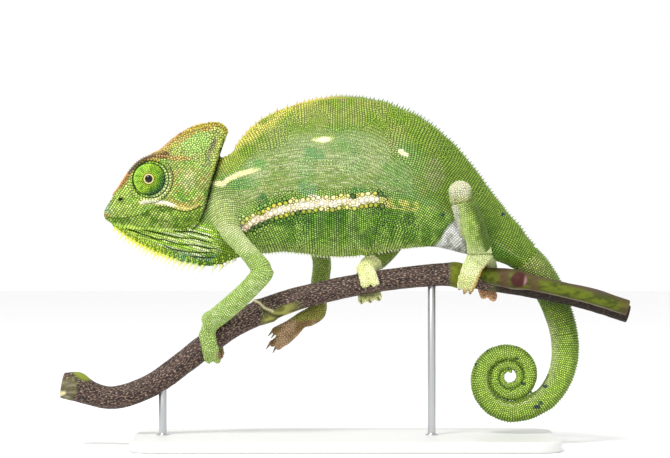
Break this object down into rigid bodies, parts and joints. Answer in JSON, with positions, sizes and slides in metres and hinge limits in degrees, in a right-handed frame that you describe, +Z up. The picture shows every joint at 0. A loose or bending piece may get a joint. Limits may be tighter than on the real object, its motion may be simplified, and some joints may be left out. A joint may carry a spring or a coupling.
{
  "type": "chameleon model on a stand",
  "caption": "Life-size still model of a green veiled chameleon walking along a forked twig with its tail coiled, held by a flat-based display stand.",
  "frame": {"origin": "middle of the underside of the stand's base", "axes": "+Z up; the animal's head points to -X; its left side faces -Y"},
  "size_m": [0.2561, 0.084, 0.157],
  "materials": {
    "skin": "scaly, satin",
    "eyeball": "wet gloss",
    "claw": "satin horn",
    "bark": "rough bark",
    "green_bark": "smooth young bark",
    "stand_plate": "matt",
    "stand_rod": "brushed"
  },
  "bodies": {
    "root": {"casque": "skin", "claw_forefoot_left_1": "claw", "claw_forefoot_left_2": "claw", "claw_forefoot_left_3": "claw", "claw_forefoot_left_4": "claw", "claw_forefoot_left_5": "claw", "claw_forefoot_right_1": "claw", "claw_forefoot_right_2": "claw", "claw_forefoot_right_3": "claw", "claw_forefoot_right_4": "claw", "claw_forefoot_right_5": "claw", "claw_hindfoot_left_1": "claw", "claw_hindfoot_left_2": "claw", "claw_hindfoot_left_3": "claw", "claw_hindfoot_left_4": "claw", "claw_hindfoot_left_5": "claw", "claw_hindfoot_right_1": "claw", "claw_hindfoot_right_2": "claw", "claw_hindfoot_right_3": "claw", "claw_hindfoot_right_4": "claw", "claw_hindfoot_right_5": "claw", "eye_turret_left": "skin", "eye_turret_right": "skin", "eyeball_left": "eyeball", "eyeball_right": "eyeball", "forearm_left": "skin", "forearm_right": "skin", "forefoot_left": "skin", "forefoot_right": "skin", "head": "skin", "hindfoot_left": "skin", "hindfoot_right": "skin", "lower_jaw": "skin", "neck": "skin", "perch_branch": "bark", "perch_shoot": "green_bark", "shin_left": "skin", "shin_right": "skin", "stand_base": "stand_plate", "stand_rod_front": "stand_rod", "stand_rod_rear": "stand_rod", "tail_1": "skin", "tail_2": "skin", "tail_3": "skin", "tail_4": "skin", "tail_5": "skin", "tail_6": "skin", "thigh_left": "skin", "thigh_right": "skin", "throat": "skin", "trunk": "skin", "upper_arm_left": "skin", "upper_arm_right": "skin"}
  },
  "joints": []
}
